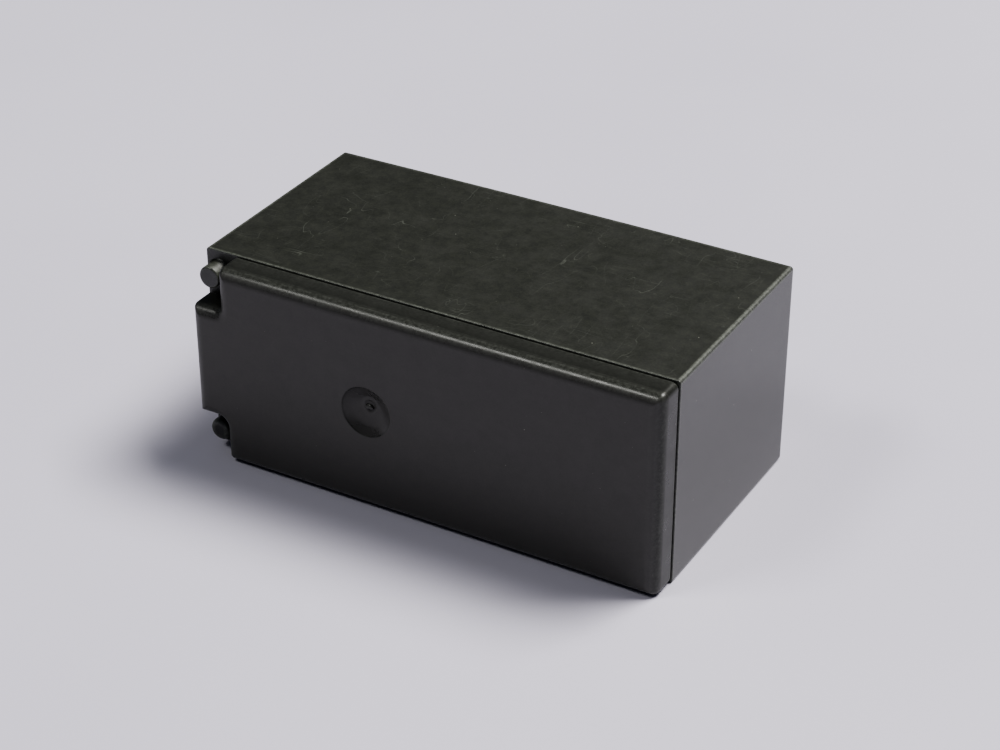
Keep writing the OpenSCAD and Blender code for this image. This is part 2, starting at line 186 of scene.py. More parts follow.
class Build:
    """Collects closed shells into one mesh, with a wear value on each point."""

    def __init__(self):
        self.bm = bmesh.new()
        self.wear = self.bm.verts.layers.float.new("wear")

    def points(self, coords, wear=0.0):
        made = []
        for co in coords:
            v = self.bm.verts.new(co)
            v[self.wear] = wear
            made.append(v)
        return made

    def loft(self, rings, wears=None, wrap=False, caps=True):
        """Joins rings of points in order. Each closed loft is a watertight shell."""
        wears = wears or [0.0] * len(rings)
        rows = [self.points(r, w) for r, w in zip(rings, wears)]
        pairs = list(zip(rows, rows[1:])) + ([(rows[-1], rows[0])] if wrap else [])
        for a, b in pairs:
            n = len(a)
            for k in range(n):
                self.bm.faces.new((a[k], a[(k + 1) % n], b[(k + 1) % n], b[k]))
        if caps and not wrap:
            self.bm.faces.new(rows[0])
            self.bm.faces.new(list(reversed(rows[-1])))
        return rows

    def revolve(self, profile, centre, segments, wears):
        """Turns a profile of (radius, distance along Y) about the line along Y through centre."""
        axis = Vector((0.0, 1.0, 0.0))
        side = axis.orthogonal().normalized()
        other = axis.cross(side)
        rings = []
        for radius, along in profile:
            turn = []
            for t in angles(segments):
                turn.append(centre + axis * along + radius * (side * math.cos(t) + other * math.sin(t)))
            rings.append(turn)
        self.loft(rings, wears)

    def block(self, lo, hi, bevel, wear=0.3):
        """Box between two corners with rounded edges."""
        part = bmesh.new()
        spots = [(lo.x, lo.z), (hi.x, lo.z), (hi.x, hi.z), (lo.x, hi.z)]
        low = [part.verts.new((x, lo.y, z)) for x, z in spots]
        high = [part.verts.new((x, hi.y, z)) for x, z in spots]
        part.faces.new(low)
        part.faces.new(list(reversed(high)))
        for k in range(4):
            n = (k + 1) % 4
            part.faces.new((low[k], low[n], high[n], high[k]))
        bmesh.ops.recalc_face_normals(part, faces=part.faces)
        bmesh.ops.bevel(part, geom=list(part.edges), offset=bevel, segments=2,
                        profile=0.5, affect="EDGES", clamp_overlap=True)
        self.add(part, wear)

    def add(self, part, wear):
        """Takes over the faces of another bmesh. Its roundings, the small faces, get the wear."""
        biggest = max(f.calc_area() for f in part.faces)
        worn = set()
        for f in part.faces:
            if f.calc_area() < ROUNDING_SHARE * biggest:
                worn.update(f.verts)
        copies = {}
        for v in part.verts:
            copies[v] = self.points([v.co], wear if v in worn else 0.0)[0]
        for f in part.faces:
            self.bm.faces.new([copies[v] for v in f.verts])
        part.free()

    def tube(self, path, radius, segments):
        """Round wire along a path, with closed ends."""
        rings = []
        normal = (path[1] - path[0]).orthogonal().normalized()
        for i, p in enumerate(path):
            ahead = path[min(i + 1, len(path) - 1)] - path[max(i - 1, 0)]
            ahead.normalize()
            normal = (normal - ahead * normal.dot(ahead)).normalized()
            side = ahead.cross(normal)
            turn = []
            for t in angles(segments):
                turn.append(p + radius * (normal * math.cos(t) + side * math.sin(t)))
            rings.append(turn)
        self.loft(rings)

    def object(self, name, body, material, replaces, smooth=35.0):
        """Makes the piece. It rides on body and stands in for the CAD nodes in replaces."""
        bmesh.ops.recalc_face_normals(self.bm, faces=self.bm.faces)
        mesh = bpy.data.meshes.new(name)
        self.bm.to_mesh(mesh)
        self.bm.free()
        mesh.shade_smooth()
        mesh.set_sharp_from_angle(angle=math.radians(smooth))
        obj = bpy.data.objects.new(name, mesh)
        bpy.context.scene.collection.objects.link(obj)
        mesh.materials.append(material)
        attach(obj, body)
        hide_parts(*replaces)
        weighted = obj.modifiers.new("weighted", "WEIGHTED_NORMAL")
        weighted.keep_sharp = True


def quarter(r, steps):
    """Round edge of radius r as (inset, depth) pairs, from the side wall to the face."""
    pairs = []
    for k in range(steps + 1):
        t = k / steps * math.pi / 2
        pairs.append((r * (1 - math.cos(t)), r * (1 - math.sin(t))))
    return pairs


def smooth_path(points, steps):
    """Catmull-Rom curve through the points, with that many steps between each two."""
    ends = [2 * points[0] - points[1]] + list(points) + [2 * points[-1] - points[-2]]
    path = []
    for i in range(1, len(ends) - 2):
        a, b, c, d = ends[i - 1:i + 3]
        for k in range(steps):
            t = k / steps
            path.append(0.5 * (2 * b + (c - a) * t + (2 * a - 5 * b + 4 * c - d) * t * t
                               + (3 * b - a - 3 * c + d) * t * t * t))
    return path + [points[-1]]


# ---------------------------------------------------------------- material tools

class Graph:
    """A material built from nodes, with lengths in millimetres of the piece's own space."""

    def __init__(self, name):
        self.mat = bpy.data.materials.new(name)
        self.mat.use_nodes = True
        self.tree = self.mat.node_tree
        self.shader = self.tree.nodes["Principled BSDF"]
        coord = self.tree.nodes.new("ShaderNodeTexCoord")
        self.mm = self.vector("MULTIPLY", coord.outputs["Object"], (1000, 1000, 1000))

    def put(self, socket, value):
        if isinstance(value, bpy.types.NodeSocket):
            self.tree.links.new(value, socket)
        else:
            socket.default_value = value

    def vector(self, op, a, b):
        node = self.tree.nodes.new("ShaderNodeVectorMath")
        node.operation = op
        self.put(node.inputs[0], a)
        self.put(node.inputs[1], b)
        return node.outputs[0]

    def math(self, op, a, b=0.0, clamp=False):
        node = self.tree.nodes.new("ShaderNodeMath")
        node.operation = op
        node.use_clamp = clamp
        self.put(node.inputs[0], a)
        self.put(node.inputs[1], b)
        return node.outputs[0]

    def noise(self, scale, detail=2.0, rough=0.5, stretch=(1, 1, 1), shift=(0, 0, 0), warp=0.0):
        node = self.tree.nodes.new("ShaderNodeTexNoise")
        place = self.vector("MULTIPLY", self.mm, stretch)
        place = self.vector("ADD", place, shift)
        self.put(node.inputs["Vector"], place)
        node.inputs["Scale"].default_value = scale
        node.inputs["Detail"].default_value = detail
        node.inputs["Roughness"].default_value = rough
        node.inputs["Distortion"].default_value = warp
        return node.outputs["Fac"]

    def cells(self, scale, shift):
        node = self.tree.nodes.new("ShaderNodeTexVoronoi")
        self.put(node.inputs["Vector"], self.vector("ADD", self.mm, shift))
        node.inputs["Scale"].default_value = scale
        return node.outputs["Distance"], node.outputs["Color"]

    def ramp(self, value, lo, hi, at_lo=0.0, at_hi=1.0):
        node = self.tree.nodes.new("ShaderNodeMapRange")
        node.interpolation_type = "SMOOTHSTEP"
        self.put(node.inputs["Value"], value)
        node.inputs["From Min"].default_value = lo
        node.inputs["From Max"].default_value = hi
        node.inputs["To Min"].default_value = at_lo
        node.inputs["To Max"].default_value = at_hi
        return node.outputs["Result"]

    def mix(self, factor, a, b):
        node = self.tree.nodes.new("ShaderNodeMix")
        node.data_type = "RGBA"
        self.put(node.inputs[0], factor)
        self.put(node.inputs[6], a)
        self.put(node.inputs[7], b)
        return node.outputs[2]

    def attribute(self, name):
        node = self.tree.nodes.new("ShaderNodeAttribute")
        node.attribute_name = name
        return node.outputs["Fac"]

    def split(self, value):
        node = self.tree.nodes.new("ShaderNodeSeparateXYZ")
        self.put(node.inputs[0], value)
        return node.outputs

    def bump(self, height, depth_mm):
        node = self.tree.nodes.new("ShaderNodeBump")
        node.inputs["Strength"].default_value = 1.0
        node.inputs["Distance"].default_value = depth_mm * MM
        self.put(node.inputs["Height"], height)
        return node.outputs["Normal"]

    def lines(self, scale, stretch, width, shift=(0, 0, 0)):
        """Thin broken lines: where a stretched noise crosses its middle value."""
        wave = self.noise(scale, 1.0, 0.4, stretch, shift)
        away = self.math("ABSOLUTE", self.math("SUBTRACT", wave, 0.5))
        return self.ramp(away, 0.0, width, 1.0, 0.0)

    def specks(self, scale, size, share, shift=(0, 0, 0)):
        """Small round specks in a share of the cells."""
        distance, colour = self.cells(scale, shift)
        pick = self.split(colour)
        dot = self.ramp(distance, 0.4 * size * scale, size * scale, 1.0, 0.0)
        chosen = self.ramp(pick[0], 1 - share, 1 - share + 0.02)
        return self.math("MULTIPLY", dot, chosen)

    def finish(self, color, roughness, normal, **flat):
        """Connects the shader. A value in flat is the same all over and is set on the socket itself."""
        self.put(self.shader.inputs["Base Color"], color)
        self.put(self.shader.inputs["Roughness"], roughness)
        self.put(self.shader.inputs["Normal"], normal)
        for key, value in flat.items():
            self.shader.inputs[key.replace("_", " ")].default_value = value
        return self.mat


def rgb(r, g, b):
    return (r, g, b, 1.0)


def moulded_black(name, dark, light, worn, rough, end_rough, front_rough, front_tone_painted_light,
                  grain, scratch, dust, scuff, shine):
    """Black glass-filled plastic: faintly mottled, finely grained, scuffed and dusty.
    Ends, which face along X, have a roughness of their own. Fronts, which face along Y, also have
    their own two tones, which are painted light: picked for how much light reaches the fronts, not for
    the plastic's colour."""
    g = Graph(name)
    coord = g.tree.nodes.new("ShaderNodeTexCoord")
    facing = g.split(coord.outputs["Normal"])
    end = g.ramp(g.math("ABSOLUTE", facing[0]), 0.75, 0.95)
    long_face = g.math("SUBTRACT", 1.0, end)

    mottle = g.noise(1.9, 6, 0.7, shift=(7, 3, 1))
    fleck = g.noise(9.0, 4, 0.7, shift=(2, 9, 4))
    tone = g.math("ADD", g.math("MULTIPLY", g.ramp(mottle, 0.3, 0.7), 0.5),
                  g.math("MULTIPLY", g.ramp(fleck, 0.3, 0.7), 0.5))
    # Faces along Y take the front tones, which are painted light: on the plate they are lighter to make
    # up for the little light its front gets
    front = g.ramp(g.math("ABSOLUTE", facing[1]), 0.55, 0.9)
    color = g.mix(front, g.mix(tone, dark, light), g.mix(tone, front_tone_painted_light[0], front_tone_painted_light[1]))

    patches = g.ramp(g.noise(0.45, 4, 0.6, shift=(11, 5, 8)), 0.42, 0.62)
    marks = g.math("MULTIPLY", g.lines(2.6, (0.05, 1, 1), 0.004), 0.7)
    marks = g.math("ADD", marks, g.lines(1.5, (0.5, 0.12, 0.7), 0.0022, shift=(3, 8, 2)))
    marks = g.math("ADD", marks, g.lines(1.8, (0.14, 0.4, 0.5), 0.0022, shift=(6, 1, 9)))
    marks = g.math("MULTIPLY", g.math("MULTIPLY", marks, patches), long_face)
    marks = g.math("MULTIPLY", marks, scratch, clamp=True)
    color = g.mix(g.math("MULTIPLY", marks, 0.45), color, worn)

    dots = g.math("ADD", g.specks(0.9, 0.05, 0.12), g.specks(2.3, 0.024, 0.2, shift=(5, 2, 9)))
    dots = g.math("MULTIPLY", dots, dust, clamp=True)
    color = g.mix(g.math("MULTIPLY", dots, 0.7), color, rgb(0.30, 0.30, 0.25))

    break_up = g.ramp(g.noise(5.0, 5, 0.75, shift=(1, 6, 3)), 0.40, 0.66)
    rubbed = g.math("ADD", g.math("MULTIPLY", break_up, 0.7), 0.3)
    wear = g.math("MULTIPLY", g.attribute("wear"), rubbed)
    color = g.mix(g.math("MULTIPLY", wear, scuff), color, worn)

    pits = g.noise(26.0, 2, 0.5, shift=(9, 9, 2))
    height = g.math("ADD", g.noise(9.0, 3, 0.6), g.math("MULTIPLY", pits, 0.5))
    height = g.math("MULTIPLY", height, g.math("ADD", g.math("MULTIPLY", long_face, 0.85), 0.15))
    height = g.math("SUBTRACT", height, g.math("MULTIPLY", marks, 0.4))
    height = g.math("SUBTRACT", height, g.math("MULTIPLY", wear, 0.5))
    normal = g.bump(height, grain)

    haze = g.ramp(g.noise(0.8, 5, 0.65, shift=(8, 1, 5)), 0.3, 0.7, -0.03, 0.05)
    roughness = g.ramp(end, 0.0, 1.0, rough, end_rough)
    roughness = g.math("ADD", roughness, g.math("MULTIPLY", front, front_rough - rough))
    # The round edges between the front and the long sides are smoother than the faces
    turned = g.math("MULTIPLY", g.math("ABSOLUTE", facing[1]), g.math("ABSOLUTE", facing[2]))
    roughness = g.math("MULTIPLY", roughness, g.ramp(turned, 0.15, 0.45, 1.0, 0.62))
    roughness = g.math("ADD", roughness, haze)
    roughness = g.math("ADD", roughness, g.math("MULTIPLY", marks, 0.1))
    roughness = g.math("ADD", roughness, g.math("MULTIPLY", wear, 0.1), clamp=True)
    return g.finish(color, roughness, normal, IOR=1.5, Specular_IOR_Level=shine)


def pale_plastic(name, dark, light, rough, glow):
    """Natural unfilled plastic with soft depth, flow marks and a fine moulded surface."""
    g = Graph(name)
    cloud = g.noise(0.5, 4, 0.6)
    flow = g.noise(1.6, 3, 0.6, stretch=(0.3, 1, 1), shift=(4, 4, 1), warp=0.6)
    tone = g.math("ADD", g.math("MULTIPLY", cloud, 0.5), g.math("MULTIPLY", flow, 0.5))
    color = g.mix(g.ramp(tone, 0.38, 0.62), dark, light)
    dirt = g.specks(1.4, 0.05, 0.16)
    color = g.mix(g.math("MULTIPLY", dirt, 0.5), color, rgb(0.12, 0.1, 0.07))
    wear = g.math("MULTIPLY", g.attribute("wear"), g.ramp(g.noise(4, 3), 0.4, 0.6))
    color = g.mix(g.math("MULTIPLY", wear, 0.4), color, rgb(0.9, 0.88, 0.82))
    height = g.math("ADD", g.noise(14, 3, 0.6), g.math("MULTIPLY", g.noise(2, 2), 1.5))
    roughness = g.ramp(g.noise(1.1, 4, 0.6, shift=(8, 1, 5)), 0.3, 0.7, rough - 0.06, rough + 0.08)
    return g.finish(color, roughness, g.bump(height, 0.004), IOR=1.5, Subsurface_Weight=glow,
                    Subsurface_Radius=(1.0, 0.8, 0.55), Subsurface_Scale=0.5 * MM)


def metal(name, dark, light, rough, tarnish, brushed=(1, 1, 1), stain=0.35):
    """Stamped metal: brushed along one axis, with tarnish in patches and brighter worn edges."""
    g = Graph(name)
    brush = g.noise(6.0, 4, 0.7, stretch=brushed)
    fine = g.noise(20.0, 3, 0.6, stretch=brushed, shift=(3, 1, 7))
    color = g.mix(g.ramp(brush, 0.3, 0.7), dark, light)
    patch = g.ramp(g.noise(0.5, 5, 0.65, shift=(5, 5, 5)), 0.4, 0.8)
    color = g.mix(g.math("MULTIPLY", patch, stain), color, tarnish)
    wear = g.math("MULTIPLY", g.attribute("wear"), g.ramp(g.noise(3, 3), 0.35, 0.6))
    color = g.mix(g.math("MULTIPLY", wear, 0.5), color, light)
    height = g.math("ADD", fine, g.math("MULTIPLY", g.noise(3.5, 4), 0.8))
    height = g.math("SUBTRACT", height, g.specks(3.0, 0.03, 0.3))
    roughness = g.ramp(brush, 0.3, 0.7, rough - 0.06, rough + 0.08)
    roughness = g.math("ADD", roughness, g.math("MULTIPLY", patch, 0.15), clamp=True)
    return g.finish(color, roughness, g.bump(height, 0.003), Metallic=1.0)


def enamelled_wire(name):
    """Copper under clear amber enamel, a little darker in some turns."""
    g = Graph(name)
    turn = g.noise(3.0, 2, 0.5, stretch=(1.8, 0.25, 0.25))
    color = g.mix(g.ramp(turn, 0.35, 0.65), rgb(0.36, 0.105, 0.03), rgb(0.62, 0.22, 0.07))
    patch = g.ramp(g.noise(0.45, 4, 0.6, shift=(2, 2, 8)), 0.45, 0.7)
    color = g.mix(g.math("MULTIPLY", patch, 0.4), color, rgb(0.22, 0.06, 0.02))
    roughness = g.ramp(g.noise(2.2, 3), 0.3, 0.7, 0.22, 0.4)
    return g.finish(color, roughness, g.bump(g.noise(16, 2), 0.002), Metallic=0.85,
                    Coat_Weight=0.6, Coat_Roughness=0.18)


def poured_resin(name):
    """Dark epoxy with a glossy skin, small bubbles and cloudy depth."""
    g = Graph(name)
    cloud = g.noise(0.7, 5, 0.6, warp=0.8)
    color = g.mix(g.ramp(cloud, 0.35, 0.65), rgb(0.017, 0.016, 0.013), rgb(0.024, 0.022, 0.018))
    bubbles = g.specks(1.6, 0.1, 0.2)
    color = g.mix(g.math("MULTIPLY", bubbles, 0.5), color, rgb(0.09, 0.08, 0.06))
    height = g.math("ADD", g.noise(0.9, 3, 0.5), g.math("MULTIPLY", bubbles, 0.5))
    roughness = g.ramp(g.noise(1.4, 4), 0.3, 0.7, 0.3, 0.42)
    return g.finish(color, roughness, g.bump(height, 0.03), IOR=1.56)


CASE = moulded_black("case_black", rgb(0.0070, 0.0082, 0.0034), rgb(0.0250, 0.0272, 0.0170),
                     rgb(0.12, 0.13, 0.105), 0.50, 0.13, 0.4,
                     (rgb(0.012, 0.0125, 0.011), rgb(0.018, 0.0185, 0.0165)),
                     grain=0.0035, scratch=0.9, dust=1.0, scuff=0.9, shine=0.95)
# The plate's front tones, two to three times its other tones, are painted light for a front that the
# lamps barely reach
PLATE = moulded_black("plate_black", rgb(0.0215, 0.0225, 0.0180), rgb(0.0330, 0.0340, 0.0280),
                      rgb(0.12, 0.125, 0.11), 0.34, 0.28, 0.36,
                      (rgb(0.0640, 0.0620, 0.0570), rgb(0.0740, 0.0720, 0.0660)),
                      grain=0.0014, scratch=0.3, dust=1.2, scuff=0.45, shine=0.5)
BASE = moulded_black("base_black", rgb(0.0120, 0.0125, 0.0128), rgb(0.019, 0.0195, 0.020),
                     rgb(0.08, 0.08, 0.075), 0.42, 0.38, 0.42,
                     (rgb(0.012, 0.0125, 0.0128), rgb(0.019, 0.0195, 0.020)),
                     grain=0.004, scratch=0.3, dust=0.5, scuff=0.4, shine=0.5)
RESIN = poured_resin("epoxy")
BOBBIN = pale_plastic("bobbin_natural", rgb(0.56, 0.51, 0.39), rgb(0.62, 0.57, 0.45), 0.42, 0.15)
WALL_PLASTIC = pale_plastic("wall_natural", rgb(0.51, 0.46, 0.34), rgb(0.56, 0.51, 0.39), 0.45, 0.15)
CARD = pale_plastic("card_natural", rgb(0.72, 0.68, 0.57), rgb(0.77, 0.73, 0.62), 0.36, 0.2)
COPPER = enamelled_wire("enamelled_copper")
IRON = metal("plated_iron", rgb(0.40, 0.40, 0.39), rgb(0.60, 0.60, 0.58), 0.34,
             brushed=(0.15, 1, 1), tarnish=rgb(0.30, 0.27, 0.22))
BRONZE = metal("spring_bronze", rgb(0.52, 0.30, 0.13), rgb(0.72, 0.44, 0.21), 0.28,
               brushed=(1, 0.12, 1), tarnish=rgb(0.34, 0.17, 0.08))
SPRING_STEEL = metal("leaf_steel", rgb(0.50, 0.43, 0.30), rgb(0.66, 0.58, 0.42), 0.3,
                     brushed=(1, 0.12, 1), tarnish=rgb(0.3, 0.22, 0.12))
SILVER = metal("contact_silver", rgb(0.68, 0.67, 0.64), rgb(0.86, 0.85, 0.82), 0.3,
               tarnish=rgb(0.35, 0.29, 0.2), stain=0.45)
TINNED = metal("tinned_brass", rgb(0.50, 0.48, 0.43), rgb(0.70, 0.68, 0.63), 0.33,
               brushed=(1, 0.12, 1), tarnish=rgb(0.42, 0.33, 0.18), stain=0.4)


# ---------------------------------------------------------------- case: sleeve, corner blocks, pegs, ribs

def sink(points):
    """Flat walls sink a little between their corners, as moulded walls do."""
    reach = 0.6 * MM
    moved = []
    for p in points:
        amount = WALL_SINK * arch(p.y, RIM, BOARD)
        q = p.copy()
        if min(p.z - BOTTOM, TOP - p.z) < reach:
            q.z += (-1 if p.z > MID_Z else 1) * amount * arch(p.x, LEFT, RIGHT)
        if min(p.x - LEFT, RIGHT - p.x) < reach:
            q.x += (-1 if p.x > MID_X else 1) * amount * arch(p.z, BOTTOM, TOP)
        moved.append(q)
    return moved


def back_rim(x, z):
    """Depth of the back rim, which stands a hair further out at mid-length than at its corners."""
    return BOARD - BACK_BOW * (1 - arch(x, LEFT, RIGHT))


def before_back(gap):
    """Depth of a section that far in front of the back rim."""
    return lambda x, z: back_rim(x, z) - gap


def level(t):
    """Depth of a section at share t between the front rim and the back rim."""
    return lambda x, z: RIM + t * (back_rim(x, z) - RIM)


def case_sleeve(b):
    """The four walls, as a closed band of sections: front rim, outside, back rim, inside."""
    body = outline(LEFT, RIGHT, BOTTOM, TOP, CORNER_R)
    soft = 0.06 * MM
    lip = 0.05 * MM
    rim_steps = 5
    wall_steps = 22
    rings, wears = [], []

    def section(inset, depth, wear):
        rings.append(sink(ring(body, inset, depth, arc=8, edge=28, guard=0.07 * MM)))
        wears.append(wear)

    for d, y in reversed(quarter(soft, rim_steps)):
        section(d, RIM + y, 1.0)
    section(0.0, RIM + soft + 0.03 * MM, 0.9)
    section(0.0, RIM + soft + 0.12 * MM, 0.0)
    for k in range(1, wall_steps):
        section(0.0, level(0.03 + 0.94 * k / wall_steps), 0.0)
    section(0.0, before_back(soft + 0.2 * MM), 0.0)
    section(0.0, before_back(soft + 0.05 * MM), 0.6)
    for d, y in quarter(soft, rim_steps):
        section(d, before_back(y), 1.0)
    section(soft + 0.1 * MM, back_rim, 0.4)
    section(WALL - lip, back_rim, 0.2)
    section(WALL, before_back(lip), 0.2)
    section(WALL, level(0.7), 0.0)
    section(WALL, level(0.3), 0.0)
    section(WALL, RIM + lip, 0.0)
    section(WALL - lip, RIM, 0.3)
    section(soft + 0.1 * MM, RIM, 0.4)
    b.loft(rings, wears, wrap=True)

    # The four edges along Y are rubbed bright
    for v in b.bm.verts:
        near_end = min(v.co.x - LEFT, RIGHT - v.co.x)
        near_side = min(v.co.z - BOTTOM, TOP - v.co.z)
        if max(near_end, near_side) < 1.15 * CORNER_R:
            v[b.wear] = 1.0


def corner_block(b, edge, side):
    """Block behind a notch of the plate. side is -1 at the bottom edge and 1 at the top edge."""
    overlap = 0.2 * MM
    near = edge - side * (WALL - overlap)
    far = edge - side * (WALL + BLOCK_H)
    lo = Vector((LEFT + WALL - overlap, RIM + 0.02 * MM, min(near, far)))
    hi = Vector((LEFT + WALL + BLOCK_L, RIM + 1.65 * MM, max(near, far)))
    b.block(lo, hi, 0.08 * MM)


def peg(b, edge, side):
    """Turned peg with a rolled tip, softer on the lower one, and a fillet where it leaves the rim."""
    tip = Vector((PEG_X, RIM - PEG_L, edge - side * PEG_EDGE))
    tip_r = (0.13 if side > 0 else 0.28) * MM
    steps = 5
    spread = PEG_R + 0.1 * MM
    profile = [(0.30 * PEG_R, 0.0), (PEG_R - 1.2 * tip_r, 0.0)]
    profile += [(PEG_R - d, y) for d, y in reversed(quarter(tip_r, steps))]
    profile += [(PEG_R, 0.45 * PEG_L), (PEG_R, PEG_L - 0.14 * MM), (PEG_R + 0.04 * MM, PEG_L - 0.05 * MM),
                (spread, PEG_L + 0.03 * MM), (spread, PEG_L + 0.2 * MM)]
    b.revolve(profile, tip, 40, [0.1, 0.3] + [0.9] * (steps + 1) + [0.4, 0.1, 0.0, 0.0, 0.0])


def guide_ribs(b):
    """Ribs inside the long walls, which end just in front of the base."""
    rib_w, rib_h, root = 0.5 * MM, 0.22 * MM, 0.05 * MM
    for edge, side in ((BOTTOM, -1), (TOP, 1)):
        wall_z = edge - side * WALL
        z_places = (wall_z + side * root, wall_z - side * rib_h)
        for x in (LEFT + 13.4 * MM, LEFT + 27.2 * MM):
            lo = Vector((x, RIM + 1.3 * MM, min(z_places)))
            hi = Vector((x + rib_w, base_lo.y - 0.1 * MM, max(z_places)))
            b.block(lo, hi, 0.05 * MM, 0.1)


def case_shell():
    b = Build()
    case_sleeve(b)
    for edge, side in ((BOTTOM, -1), (TOP, 1)):
        corner_block(b, edge, side)
        peg(b, edge, side)
    guide_ribs(b)
    b.object("case_shell", "housing", CASE, ["case"])


# ---------------------------------------------------------------- top plate

def plate_outline():
    """The plate's outline, with a notch for a peg at each left corner."""
    x0, x1 = plate_lo.x, plate_hi.x
    z0, z1 = plate_lo.z, plate_hi.z
    notch = LEFT + NOTCH_L
    low, high = BOTTOM + NOTCH_H, TOP - NOTCH_H
    corner = 0.4 * MM
    tongue = 0.22 * MM
    return [(notch, z0, corner), (x1, z0, corner), (x1, z1, corner), (notch, z1, corner),
            (notch, high, 0.25 * MM), (x0, high, tongue), (x0, low, tongue), (notch, low, 0.6 * MM)]


def plate_body(b):
    """The plate with its rounded edges, open in front. Gives the points round that opening."""
    shape = plate_outline()
    back = FACE + PLATE_T
    heel = 0.05 * MM
    steps = 12
    rings, wears = [], []

    def section(inset, y, wear):
        rings.append(ring(shape, inset, y, arc=8, edge=10))
        wears.append(wear)

    section(WALL, back, 0.0)
    section(heel + 0.1 * MM, back, 0.0)
    for d, y in reversed(quarter(heel, 3)):
        section(d, back - y, 1.0)
    section(0.0, back - heel - 0.1 * MM, 0.4)
    section(0.0, FACE + FILLET + 0.08 * MM, 0.0)
    for k, (d, y) in enumerate(quarter(FILLET, steps)):
        section(d, FACE + y, 1.0 if 0.15 < k / steps < 0.75 else 0.35)
    section(FILLET + 0.06 * MM, FACE, 0.1)
    section(FILLET + 0.35 * MM, FACE, 0.0)
    rows = b.loft(rings, wears, caps=False)
    b.bm.faces.new(rows[0])
    return rows[-1]


def gate_dimple(b):
    """Dimple of the moulding gate: rounded lip, bowl, and the low ring round the gate's scar.
    Gives the points round the lip."""
    lip = 0.05 * MM
    steps = 13
    # Radius, depth, wear, and the share of the scar's shift that each circle takes
    circles = [(DIMPLE_R + 0.12 * MM, 0.0, 0.0, 0.0), (DIMPLE_R + lip, 0.0, 0.1, 0.0),
               (DIMPLE_R + 0.4 * lip, 0.15 * lip, 0.3, 0.0), (DIMPLE_R, 0.7 * lip, 0.3, 0.0)]
    for k in range(1, steps):
        share = 1 - k / steps * 0.66
        depth = DIMPLE_DEPTH * (1 - share ** 2) + lip * 0.7 * share
        circles.append((DIMPLE_R * share, depth, 0.0, max(0.0, k - 6) / 6))
    for radius, rise, wear in ((0.48, -0.02, 0.1), (0.44, -0.03, 0.3), (0.38, -0.015, 0.2),
                               (0.3, 0.03, 0.0), (0.2, 0.05, 0.0), (0.08, 0.055, 0.0)):
        circles.append((radius * MM, SCAR_DEPTH + rise * MM, wear, 1.0))
    rings = []
    for radius, depth, _, shift in circles:
        turn = []
        for t in angles(64):
            turn.append(DIMPLE + SCAR_SHIFT * shift
                        + Vector((radius * math.cos(t), depth, radius * math.sin(t))))
        rings.append(turn)
    rows = b.loft(rings, [circle[2] for circle in circles], caps=False)
    b.bm.faces.new(rows[-1])
    return rows[0]


def front_face(b, outer, lip):
    """Flat front face between the plate's round edge and the dimple."""
    verts = outer + lip
    for tri in geometry.tessellate_polygon([[v.co for v in outer], [v.co for v in lip]]):
        b.bm.faces.new([verts[i] for i in tri])


def gate_stub(b):
    """Torn stub of the gate inside the ring: a rough lump to one side."""
    foot = DIMPLE + SCAR_SHIFT + Vector((-0.1 * MM, SCAR_DEPTH + 0.07 * MM, -0.1 * MM))
    half_x, tall, half_z = 0.3 * MM, 0.12 * MM, 0.17 * MM
    seed = 2.0
    rings = []
    for share, rise in ((1.0, 0.0), (0.95, 0.35), (0.8, 0.7), (0.5, 0.95), (0.2, 1.0)):
        turn = []
        for t in angles(20):
            spot = Vector((math.cos(t) * 1.4, math.sin(t) * 1.4, share * 3 + seed))
            rough = 1 + 0.35 * noise.noise(spot)
            turn.append(foot + Vector((half_x * share * rough * math.cos(t),
                                       -tall * rise * (0.8 + 0.4 * rough),
                                       half_z * share * rough * math.sin(t))))
        rings.append(turn)
    b.loft(rings, [0.0, 0.2, 0.8, 1.0, 1.0])


def plate_plug(b):
    """Plug behind the plate: a skirt round a ribbed pocket, clear of the case's corner blocks."""
    slip = 0.03 * MM
    x0, x1 = LEFT + WALL + slip, RIGHT - WALL - slip
    z0, z1 = BOTTOM + WALL + slip, TOP - WALL - slip
    notch = LEFT + WALL + BLOCK_L + slip
    clear = WALL + BLOCK_H + 2 * slip
    low, high = BOTTOM + clear, TOP - clear
    r = 0.2 * MM
    shape = [(notch, z0, r), (x1, z0, r), (x1, z1, r), (notch, z1, r),
             (notch, high, r), (x0, high, r), (x0, low, r), (notch, low, r)]
    back = FACE + PLATE_T
    end = plate_hi.y
    pocket = back + 0.12 * MM
    soft = 0.08 * MM
    # Inset, depth and wear of each section
    sections = [(0.0, back - 0.2 * MM, 0.0), (0.0, end - 0.2 * MM, 0.0),
                (0.06 * MM, end - soft, 0.5), (0.14 * MM, end, 0.4),
                (SKIRT - soft, end, 0.2), (SKIRT, end - soft, 0.2),
                (SKIRT + 0.05 * MM, pocket + soft, 0.0), (SKIRT + 0.14 * MM, pocket, 0.0)]
    b.loft([ring(shape, inset, y, arc=5, edge=4) for inset, y, _ in sections],
           [wear for _, _, wear in sections])

    rib_half, sunk = 0.3 * MM, 0.1 * MM
    for x in (LEFT + 8.2 * MM, LEFT + 14.4 * MM, LEFT + 20.6 * MM):
        b.block(Vector((x - rib_half, pocket - sunk, z0 + SKIRT - sunk)),
                Vector((x + rib_half, end - 0.12 * MM, z1 - SKIRT + sunk)), 0.07 * MM, 0.2)

    # Low round ejector marks between and beside the ribs
    mark_r, mark_h = 0.92 * MM, 0.1 * MM
    mark = [(0.3 * MM, mark_h), (mark_r - 0.07 * MM, mark_h), (mark_r, 0.07 * MM), (mark_r, -sunk)]
    for x in (LEFT + 5.3 * MM, LEFT + 11.3 * MM, LEFT + 17.5 * MM, LEFT + 23.6 * MM):
        b.revolve(mark, Vector((x, pocket, MID_Z)), 32, [0.0, 0.3, 0.3, 0.0])


